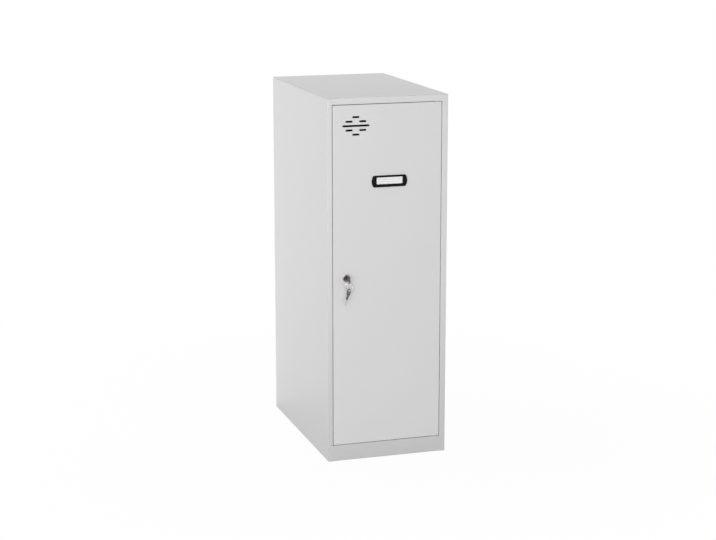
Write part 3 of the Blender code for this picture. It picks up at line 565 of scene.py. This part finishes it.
def railSocket(side, axes):
    # a cup's profile carried round its axis, with a screw on each side of the collar
    node = side + "_rail_socket"
    low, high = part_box(node)
    middle = (low + high) / 2
    radius = (high.z - low.z) / 2
    depth = high.x - low.x
    wallX = low.x if side == "left" else high.x
    at = (wallX, middle.y, middle.z)
    plate, bore, collar, rounding = socket["plate"], socket["bore"], socket["collar"], socket["rounding"]
    cup = softLine([(0, plate), (bore, plate), (bore, depth), (collar, depth), (collar, plate),
                    (radius, plate), (radius, 0), (0, 0)],
                   [0, 0, rounding, rounding, socket["fillet"], rounding, 0, 0])
    aside = (collar + radius) / 2
    screw = crossScrew(socket["screwRadius"], socket["screwRise"], socket["screwShank"],
                       socket["screwLength"])
    out = np.asarray(axes[2], float) * plate
    places = np.asarray(at, float) + out + np.array([(0, aside, 0), (0, -aside, 0)])
    addPiece(node + "_cup", meshOf("socket", shell(turned(cup), at, axes)), zincPlate, node)
    screws = meshOf("screws", copies(shell(screw, axes=axes), places))
    addPiece(node + "_screws", screws, zincPlate, node, False)


coatRail()
railSocket("left", facingRight)
railSocket("right", facingLeft)
print("coat rail made")

# Hinge pins, bushes and the rubber bumpers

hinge = {"pinRadius": 0.0020, "headRadius": 0.0032, "headHeight": 0.0020, "tip": 0.0007,
         "headRounding": 0.0004, "bore": 0.0023, "spigot": 0.0030, "flange": 0.0005,
         "flangeRounding": 0.0001}
bumper = {"bulb": 0.0028, "bulbTip": 0.0020, "bulbLength": 0.0018, "stem": 0.0020, "stemLength": 0.0014,
          "tipRounding": 0.00045, "backRounding": 0.000225, "faceRounding": 0.0009}


def hingePin(end, axes):
    # the profile of a headed pin carried round its axis
    node = end + "_hinge_pin"
    low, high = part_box(node)
    middle = (low + high) / 2
    length = high.z - low.z
    profile = softLine([(0, 0), (hinge["headRadius"], 0), (hinge["headRadius"], hinge["headHeight"]),
                        (hinge["pinRadius"], hinge["headHeight"]), (hinge["pinRadius"], length),
                        (0, length)],
                       [0, hinge["headRounding"], hinge["headRounding"], 0, hinge["tip"], 0])
    at = (middle.x, middle.y, low.z if end == "upper" else high.z)
    addPiece(node + "_turned", meshOf("pin", shell(turned(profile), at, axes)), zincPlate, node)


def hingeBush(end, axes):
    # the closed profile of a flanged ring carried round its axis
    node = end + "_hinge_bush"
    low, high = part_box(node)
    middle = (low + high) / 2
    radius = (high.x - low.x) / 2
    height = high.z - low.z
    profile = softLine([(hinge["bore"], 0), (radius, 0), (radius, hinge["flange"]),
                        (hinge["spigot"], hinge["flange"]), (hinge["spigot"], height),
                        (hinge["bore"], height)], hinge["flangeRounding"], True)
    at = (middle.x, middle.y, low.z if end == "upper" else high.z)
    addPiece(node + "_ring", meshOf("bush", shell(turned(profile), at, axes, True)), nylon, node)


def doorBumper(end):
    # the profile of a bulb, a stem and a head carried round their axis
    node = end + "_door_bumper"
    low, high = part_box(node)
    middle = (low + high) / 2
    radius = (high.x - low.x) / 2
    depth = high.y - low.y
    headBack = bumper["bulbLength"] + bumper["stemLength"]
    profile = softLine([(0, 0), (bumper["bulbTip"], 0), (bumper["bulb"], bumper["bulbLength"]),
                        (bumper["stem"], bumper["bulbLength"]), (bumper["stem"], headBack),
                        (radius, headBack), (radius, depth), (0, depth)],
                       [0, bumper["tipRounding"], 0, 0, 0, bumper["backRounding"],
                        bumper["faceRounding"], 0])
    at = (middle.x, high.y, middle.z)
    addPiece(node + "_button", meshOf("bumper", shell(turned(profile), at, facingFront)), rubber, node)


for end, axes in (("upper", upright), ("lower", upsideDown)):
    hingePin(end, axes)
    hingeBush(end, axes)
    doorBumper(end)
print("hinge pins, bushes and bumpers made")

# Label holder; its edge and its window's chamfer are pairs of shares, sideways and down

label = {"bulge": 0.0045, "thickness": 0.0030, "edge": 0.0009, "cornerSquareness": 34, "filmLip": 0.0022,
         "edgeSteps": ((0, 1), (0.12, 0.45), (0.45, 0.12), (1, 0)), "windowChamfer": 0.0005,
         "chamferSteps": ((1, 0), (0.3, 0.4), (0, 1)), "windowSquareness": 40, "pocketMargin": 0.0025,
         "pocketDepth": 0.0015, "crown": 0.0002, "pegRadius": 0.0018, "pegSpacing": 0.076, "pegTip": 0.0005,
         "pegStart": 0.0018, "plateSquareness": 30}
filmLow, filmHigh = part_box("label_window")
filmMiddle = (filmLow + filmHigh) / 2
filmHalf = (filmHigh - filmLow) / 2
windowHalf = (filmHalf.x - label["filmLip"], filmHalf.z - label["filmLip"])


def labelOutline(half, inset):
    # a squared loop whose two ends swell by the bulge where the height is nought
    flat = half[0] - label["bulge"]
    loop = squaredLoop(flat - inset, half[1] - inset, label["cornerSquareness"])
    x, y = loop.T
    swell = label["bulge"] * (1 - (y / half[1]) ** 2)
    return np.stack([x + x / flat * swell, y], axis=-1)


def labelFrame():
    # loops from the outline's back edge over the bezel, through the window and round the card's pocket
    low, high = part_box("label_frame")
    middle = (low + high) / 2
    half = ((high.x - low.x) / 2, (high.z - low.z) / 2)
    raised = np.array([0, filmMiddle.z - middle.z])

    def opening(margin):
        width, height = windowHalf
        return squaredLoop(width + margin, height + margin, label["windowSquareness"]) + raised

    thick = label["thickness"]
    crown = thick - label["crown"]
    edge, chamfer = label["edge"], label["windowChamfer"]
    pocket, margin = label["pocketDepth"], label["pocketMargin"]
    loops = [labelOutline(half, 0),
             *[labelOutline(half, inset * edge) for inset, drop in label["edgeSteps"]],
             *[opening(inset * chamfer) for inset, drop in label["chamferSteps"]],
             opening(0), opening(margin), opening(margin)]
    heights = [0, *[crown - drop * edge for inset, drop in label["edgeSteps"]],
               *[thick - drop * chamfer for inset, drop in label["chamferSteps"]], pocket, pocket, 0]
    bezel = shell(stacked(loops, heights), (middle.x, low.y + thick, middle.z), facingFront, True)
    pegLength = high.y - low.y - label["pegStart"]
    peg = softLine([(0, 0), (label["pegRadius"], 0), (label["pegRadius"], pegLength), (0, pegLength)],
                   [0, 0, label["pegTip"], 0])
    places = np.array([(middle.x + side * label["pegSpacing"] / 2, low.y + label["pegStart"], middle.z)
                       for side in (-1, 1)])
    pegs = copies(shell(turned(peg), axes=facingBack), places)
    addPiece("label_bezel", meshOf("bezel", bezel, pegs), blackPlastic, "label_frame")


def thinPlate(name, node, finish):
    # a squared loop with flat faces, filling its node's box
    low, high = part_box(node)
    middle = (low + high) / 2
    depth = high.y - low.y
    loop = squaredLoop((high.x - low.x) / 2, (high.z - low.z) / 2, label["plateSquareness"])
    grid = stacked([0 * loop, loop, loop, 0 * loop], [0, 0, depth, depth])
    addPiece(name, meshOf(name, shell(grid, (middle.x, high.y, middle.z), facingFront)), finish, node)


blankCard = cardFinish(filmMiddle, windowHalf[0])
labelFrame()
thinPlate("clear_window", "label_window", clearFilm)
thinPlate("blank_card", "label_card", blankCard)
print("label holder made")

# Cam lock; its heights are measured out from the door's front

lock = {"rim": 0.0009, "flangeBack": 0.0003, "counterbore": 0.0073, "counterboreFloor": 0.0007,
        "mouthRounding": 0.0003, "barrel": 0.0083, "barrelFlat": 0.0070, "bore": 0.0058,
        "threadStart": -0.0062, "threadPitch": 0.0010, "threadDepth": 0.0004}
plug = {"headBack": 0.0010, "radius": 0.0055, "end": -0.0223, "tail": 0.0045, "tailFlat": 0.0030,
        "rim": 0.0004, "rimSoftness": 0.3, "dish": 0.0003, "dishShare": 0.8, "keywayHalf": (0.0011, 0.0033),
        "keywayMouth": 0.0003, "keywayDepth": -0.0123, "keywaySquareness": 14}
nut = {"hole": 0.0086, "chamferRadius": 0.0106, "chamferSlope": 0.58, "holeChamfer": 0.0004}
cam = {"hole": 0.0048, "holeFlat": 0.0033, "head": 0.0080, "armHalf": 0.0060, "edge": 0.0003,
       "crowding": 0.75}
camScrew = {"gap": 0.0003, "shank": 0.0015}
lockLow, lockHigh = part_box("lock_housing")
lockAt = (lockLow + lockHigh) / 2
lockAt.y = doorFront
lockFace = doorFront - lockLow.y


def lockHousing():
    # a closed profile carried round the axis, its thread a zigzag; the barrel is cut to two flats
    radius = (lockHigh.x - lockLow.x) / 2
    end = doorFront - lockHigh.y
    ridge = np.arange(int((lock["threadStart"] - end) / lock["threadPitch"] * 2))
    thread = np.stack([lock["barrel"] - lock["threadDepth"] * (ridge % 2),
                       lock["threadStart"] - ridge * lock["threadPitch"] / 2], axis=-1)
    front = softLine([(lock["bore"], lock["counterboreFloor"]),
                      (lock["counterbore"], lock["counterboreFloor"]), (lock["counterbore"], lockFace),
                      (radius, lockFace), (radius, lock["flangeBack"]),
                      (lock["barrel"], lock["flangeBack"])],
                     [0, 0, lock["mouthRounding"], lock["rim"], 0, 0])
    back = [(lock["barrel"] - lock["threadDepth"], end), (lock["bore"], end)]
    grid = turned(np.concatenate([front, thread, back]))
    x, y, out = np.moveaxis(grid, -1, 0)
    flatted = np.where(out < lock["flangeBack"], np.clip(x, -lock["barrelFlat"], lock["barrelFlat"]), x)
    grid = np.stack([flatted, y, out], axis=-1)
    mesh = meshOf("housing", shell(grid, lockAt, facingFront, True))
    addPiece("lock_bezel", mesh, nickelPlates["bezel"], "lock_housing")


def lockPlug():
    # loops from the keyway's floor, out over the dished face and back along the barrel to the flatted tail
    low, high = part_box("lock_plug")
    radius = (high.x - low.x) / 2
    tailEnd = doorFront - high.y
    keyway = squaredLoop(*plug["keywayHalf"], plug["keywaySquareness"])
    mouth = squaredLoop(*(np.array(plug["keywayHalf"]) + plug["keywayMouth"]), plug["keywaySquareness"])
    circle = squaredLoop(1, 1, 2)
    dish = plug["dishShare"] * radius * circle
    dished = lockFace - plug["dish"]
    rim = plug["rim"]
    soft = plug["rimSoftness"] * rim
    tail = circle * plug["tail"]
    tail[:, 0] = np.clip(tail[:, 0], -plug["tailFlat"], plug["tailFlat"])
    loops = [0 * keyway, keyway, keyway, mouth, (mouth + dish) / 2, dish, (radius - rim) * circle,
             (radius - soft) * circle, radius * circle, radius * circle, plug["radius"] * circle,
             plug["radius"] * circle, tail, tail, 0 * tail]
    heights = [plug["keywayDepth"], plug["keywayDepth"], dished - plug["keywayMouth"], dished, dished,
               dished, lockFace, lockFace - soft, lockFace - rim, plug["headBack"], plug["headBack"],
               plug["end"], plug["end"], tailEnd, tailEnd]
    mesh = meshOf("plug", shell(stacked(loops, heights), lockAt, facingFront))
    addPiece("lock_barrel", mesh, nickelPlates["plug"], "lock_plug")


def lockNut():
    # a hexagon in polar form is its half width / cos of the angle from the nearest flat; a cone trims it
    low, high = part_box("lock_nut")
    half = (high.x - low.x) / 2
    thick = high.y - low.y
    fromFlat = (turn + np.pi / 6) % (np.pi / 3) - np.pi / 6
    hexagon = half / np.cos(fromFlat)
    deepest = (hexagon.max() - nut["chamferRadius"]) * nut["chamferSlope"]
    depths = np.linspace(0, deepest, meshes["rounding"])
    cone = [np.minimum(hexagon, nut["chamferRadius"] + depth / nut["chamferSlope"]) for depth in depths]
    hole, mouth = nut["hole"], nut["hole"] + nut["holeChamfer"]
    radii = [hole, mouth, *cone, *cone[::-1], mouth, hole]
    heights = [nut["holeChamfer"], 0, *depths, *(thick - depths[::-1]), thick, thick - nut["holeChamfer"]]
    at = (lockAt.x, low.y, lockAt.z)
    mesh = meshOf("nut", shell(polar(radii, heights), at, facingBack, True))
    addPiece("lock_hex_nut", mesh, nickelPlates["bezel"], "lock_nut")


def lockCam():
    # each ray from the middle ends on the farther of the round head and the arm; rays crowd towards the arm
    low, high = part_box("lock_cam")
    thick = high.y - low.y
    armEnd = lockAt.z - low.z - cam["armHalf"]
    angle = turn - cam["crowding"] * np.sin(turn + np.pi / 2)
    across, down = np.abs(np.cos(angle)), -np.sin(angle)
    flank = rayTo(cam["armHalf"], across)
    tip = rayToCircle(down, armEnd, cam["armHalf"])
    arm = np.where(down > 0, np.where(flank * down < armEnd, flank, tip), 0)
    outer = np.maximum(arm, cam["head"])
    hole = np.minimum(cam["hole"], rayTo(cam["holeFlat"], across))
    edge = cam["edge"]
    radii = np.stack([hole, hole, hole + edge, outer - edge, outer, outer, outer - edge, hole + edge])
    heights = np.array([edge, thick - edge, thick, thick, thick - edge, edge, 0, 0])[:, None]
    grid = np.stack(np.broadcast_arrays(radii * np.cos(angle), radii * np.sin(angle), heights), axis=-1)
    mesh = meshOf("cam", shell(grid, (lockAt.x, high.y, lockAt.z), facingFront, True))
    addPiece("lock_cam_plate", mesh, zincPlate, "lock_cam")


def lockScrew():
    # a cross screw behind the cam, its shank in the tail of the plug
    low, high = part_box("cam_screw")
    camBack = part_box("lock_cam")[1].y + camScrew["gap"]
    radius = (high.x - low.x) / 2
    grid = crossScrew(radius, high.y - camBack, camScrew["shank"], camBack - low.y)
    mesh = meshOf("screw", shell(grid, (lockAt.x, camBack, lockAt.z), facingBack))
    addPiece("cam_cross_screw", mesh, zincPlate, "cam_screw")


lockHousing()
lockPlug()
lockNut()
lockCam()
lockScrew()
print("cam lock made")

# Keys and their split ring; a key lies along x, with the door's front at 0 while it is in the lock

key = {"insert": 0.012, "shoulder": 0.0031, "reach": 0.031, "thickness": 0.0016, "halfBlade": 0.0030,
       "bladeSquareness": 8, "bladeRows": 120, "tip": 0.0020, "tipShare": 1 / 3, "bites": 4, "bite": 0.0014,
       "biteSlope": 3, "groove": 0.00035, "grooveAt": 0.25, "grooveHalf": 0.22, "grooveSquareness": 4,
       "intoNeck": 0.0006, "halfNeck": 0.0045, "bow": 0.0095, "slotHalf": (0.0020, 0.0060), "slotAt": 0.026,
       "edge": 0.00025}
spare = {"lean": 15, "twist": 8, "slotBelow": -0.0035}
ring = {"wireHalf": (0.00068, 0.00034), "squareness": 3, "turnsShown": 1.88, "step": 0.55, "rows": 180,
        "sides": 16}


def keyBow():
    # seen from the slot's middle, the edge is the farther of the round bow and the neck along every ray
    along, across = np.cos(turn), np.sin(turn)
    bow = rayToCircle(along, key["reach"] - key["bow"] - key["slotAt"], key["bow"])
    toShoulder = rayTo(key["slotAt"] - key["shoulder"], -along)
    toFlank = rayTo(key["halfNeck"], np.abs(across))
    outer = np.maximum(bow, np.where(along < 0, np.minimum(toShoulder, toFlank), 0))
    width, length = key["slotHalf"]
    flank = rayTo(width, np.abs(along))
    end = rayToCircle(np.abs(across), length - width, width)
    slot = np.where(flank * np.abs(across) < length - width, flank, end)
    edge = key["edge"]
    half = key["thickness"] / 2
    radii = [slot, slot, slot + edge, outer - edge, outer, outer, outer - edge, slot + edge]
    heights = [edge - half, half - edge, half, half, half - edge, edge - half, -half, -half]
    return shell(polar(radii, heights), (key["slotAt"], 0, 0), ring=True)


def keyBlade():
    # a grooved section carried along the blade; its lower edge dips by a wedge at every bite
    start, stop = -key["insert"], key["shoulder"] + key["intoNeck"]
    place = np.linspace(start, stop, key["bladeRows"])
    pitch = (key["insert"] - key["tip"]) / (key["bites"] + 1)
    number = (place - start - key["tip"]) / pitch
    nearest = np.clip(np.round(number), 1, key["bites"])
    deep = np.where(nearest % 2 == 0, key["bite"], key["bite"] / 2)
    wedge = deep * np.clip(1 - key["biteSlope"] * np.abs(number - nearest), 0, 1)
    taper = np.clip((place - start) / key["tip"], 0, 1)
    height = key["halfBlade"] * (key["tipShare"] + (1 - key["tipShare"]) * taper)
    side, up = squaredLoop(key["thickness"] / 2, 1, key["bladeSquareness"]).T
    fromGroove = (up - key["grooveAt"]) / key["grooveHalf"]
    groove = key["groove"] * np.exp(-fromGroove ** key["grooveSquareness"])
    side = side - np.sign(side) * np.minimum(groove, np.abs(side))
    upper, lower = height[:, None], (height - wedge)[:, None]
    rise = np.where(up > 0, up * upper, up * lower)
    grid = np.stack(np.broadcast_arrays(place[:, None], rise, side), axis=-1)
    return shell(withEnds(grid))


def placedKey(name, node, matrix):
    # the bow's nickel is toned dark as painted shade and reflection; the blade's is toned lighter, so that
    # it blends with the door
    axes = np.array(matrix.to_3x3()).T
    for end, (points, quads) in (("bow", keyBow()), ("blade", keyBlade())):
        moved = points @ axes + np.array(matrix.translation)
        addPiece(name + "_" + end, meshOf(end, (moved, quads)), nickelPlates[end + "s"], node)


def splitRing():
    # a flattened wire that goes round nearly twice, x = r sin a and z = -r cos a, in two layers a quarter of
    # the depth from the middle; at the end of its first turn it steps from one to the other by 3 s^2 - 2 s^3
    low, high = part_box("key_ring")
    middle = (low + high) / 2
    radius = (high.x - low.x) / 2 - ring["wireHalf"][0]
    layer = (high.y - low.y) / 4
    angle = np.linspace(0, ring["turnsShown"] * 2 * np.pi, ring["rows"])
    stepped = np.clip((angle - 2 * np.pi + ring["step"]) / ring["step"], 0, 1)
    depth = layer * (2 * stepped ** 2 * (3 - 2 * stepped) - 1)
    section = thinned(squaredLoop(*ring["wireHalf"], ring["squareness"]), ring["sides"])
    reach = radius + section[:, 0]
    x = middle.x + reach * np.sin(angle)[:, None]
    z = middle.z - reach * np.cos(angle)[:, None]
    y = middle.y + depth[:, None] + section[:, 1]
    mesh = meshOf("ring", shell(withEnds(np.stack([x, y, z], axis=-1))))
    addPiece("split_ring", mesh, nickelPlates["ring"], "key_ring")


faceFront = Matrix.Rotation(np.radians(90), 4, "X")
keyForward = Matrix.Rotation(np.radians(-90), 4, "Z") @ faceFront
placedKey("lock_key", "key", Matrix.Translation(lockAt) @ keyForward)

pivot = Vector(jointPlaces["spare_key_swing"])
lean = Matrix.Rotation(np.radians(spare["lean"]), 4, "Y")
twist = Matrix.Rotation(np.radians(spare["twist"]), 4, "Z")
bladeDown = Matrix.Rotation(np.radians(-90), 4, "X") @ keyForward
slotPlace = pivot + lean @ Vector((0, 0, spare["slotBelow"]))
slotBack = Matrix.Translation((-key["slotAt"], 0, 0))
placedKey("hanging_key", "spare_key", Matrix.Translation(slotPlace) @ lean @ twist @ bladeDown @ slotBack)
splitRing()
print("keys made")

# Camera, set by the corners of the cabinet and the door that the photograph shows

cabinetLow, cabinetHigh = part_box("left_side_panel")
viewpoint = {"fromLeft": -1.1914, "fromFront": -4.0083, "height": 1.4071, "tilt": 12.43, "turn": -17.55,
             "lens": 89.21}
cameraData = bpy.data.cameras.new("camera")
cameraData.lens = viewpoint["lens"]
camera = bpy.data.objects.new("camera", cameraData)
camera.location = (cabinetLow.x + viewpoint["fromLeft"], cabinetLow.y + viewpoint["fromFront"],
                   viewpoint["height"])
camera.rotation_euler = np.radians((90 - viewpoint["tilt"], 0, viewpoint["turn"]))
bpy.context.scene.collection.objects.link(camera)
bpy.context.scene.camera = camera

# Studio: white surroundings, a white floor that keeps a faint shadow, a white wall close behind the locker

studio = {"white": (1, 1, 1, 1), "ambient": 0.47, "backdrop": 1.0, "floorTone": 0.50, "floorTopUp": 0.45,
          "floorLit": 0.05, "litReach": (0.4, 1.6), "floorInGloss": 0.50, "floorSize": 60,
          "floorDrop": 0.0004, "wallGap": 0.02, "wallSize": (8, 3)}
softboxes = {"front": {"at": (-1.2, -4.0, 0.85), "size": (3.4, 1.6), "power": 104},
             "left": {"at": (-3.4, 1.2, 1.2), "size": (2.2, 2.2), "power": 24.5}}


def plane(name, at, size, axes, material):
    # a rectangle round its place, along the first two axes
    loop = np.array([(-0.5, -0.5, 0), (0.5, -0.5, 0), (0.5, 0.5, 0), (-0.5, 0.5, 0)]) * (*size, 0)
    mesh = bpy.data.meshes.new(name)
    mesh.from_pydata((loop @ np.array(axes, float) + np.array(at)).tolist(), [], [(0, 1, 2, 3)])
    mesh.materials.append(material)
    obj = bpy.data.objects.new(name, mesh)
    bpy.context.scene.collection.objects.link(obj)
    return obj


def studioFloor():
    # plain white where the camera sees it; a share of the lit surface stays near the locker, for its shadow
    material, place = newFinish("studioFloor")
    rays = place.add("ShaderNodeLightPath", {}, {}, "Is Camera Ray")
    mirrored = rays.other("Is Glossy Ray") + rays.other("Is Transmission Ray")
    away = place.add("ShaderNodeVectorMath", {"operation": "LENGTH"}, {0: place}, "Value")
    litShare = ramp(away, *studio["litReach"], studio["floorLit"], 0.0)
    shown = rays * (1 - litShare) + mirrored * studio["floorInGloss"]
    tone = studio["floorTone"] + studio["floorTopUp"] * rays
    lit = place.add("ShaderNodeBsdfDiffuse", {}, {"Color": tone})
    white = place.add("ShaderNodeEmission", {}, {"Color": studio["white"], "Strength": studio["backdrop"]})
    surface = place.add("ShaderNodeMixShader", {}, {0: shown, 1: lit, 2: white})
    place.add("ShaderNodeOutputMaterial", {}, {"Surface": surface})
    plane("floor", (0, 0, -studio["floorDrop"]), (studio["floorSize"],) * 2, upright, material)


def studioWall():
    # only reflections and bounced light see it
    material, place = newFinish("studioWall")
    white = place.add("ShaderNodeEmission", {}, {"Color": studio["white"], "Strength": studio["backdrop"]})
    place.add("ShaderNodeOutputMaterial", {}, {"Surface": white})
    width, height = studio["wallSize"]
    at = (0, cabinetHigh.y + studio["wallGap"], height / 2)
    wall = plane("wall", at, (width, height), facingFront, material)
    wall.visible_camera = False
    wall.visible_shadow = False


def studioWorld():
    # white to the eye and in reflections, dimmer as a light
    world = bpy.data.worlds.new("studio")
    world.use_nodes = True
    world.node_tree.nodes.clear()
    rays = Wire(world.node_tree).add("ShaderNodeLightPath", {}, {}, "Is Camera Ray")
    shown = rays + rays.other("Is Glossy Ray") + rays.other("Is Transmission Ray")
    ambient, white = [rays.add("ShaderNodeBackground", {}, {"Color": studio["white"], "Strength": strength})
                      for strength in (studio["ambient"], studio["backdrop"])]
    surface = rays.add("ShaderNodeMixShader", {}, {0: shown, 1: ambient, 2: white})
    rays.add("ShaderNodeOutputWorld", {}, {"Surface": surface})
    bpy.context.scene.world = world


def softbox(name, box):
    # a rectangle of light, aimed at the middle of the locker's height
    light = bpy.data.lights.new(name, "AREA")
    light.shape = "RECTANGLE"
    light.size, light.size_y = box["size"]
    light.energy = box["power"]
    lamp = bpy.data.objects.new(name, light)
    lamp.location = box["at"]
    target = Vector((0, 0, (cabinetLow.z + cabinetHigh.z) / 2))
    lamp.rotation_euler = (target - lamp.location).to_track_quat("-Z", "Y").to_euler()
    bpy.context.scene.collection.objects.link(lamp)


studioFloor()
studioWall()
studioWorld()
for name, box in softboxes.items():
    softbox(name, box)
bpy.context.scene.view_settings.view_transform = "Standard"
print("camera and studio set")
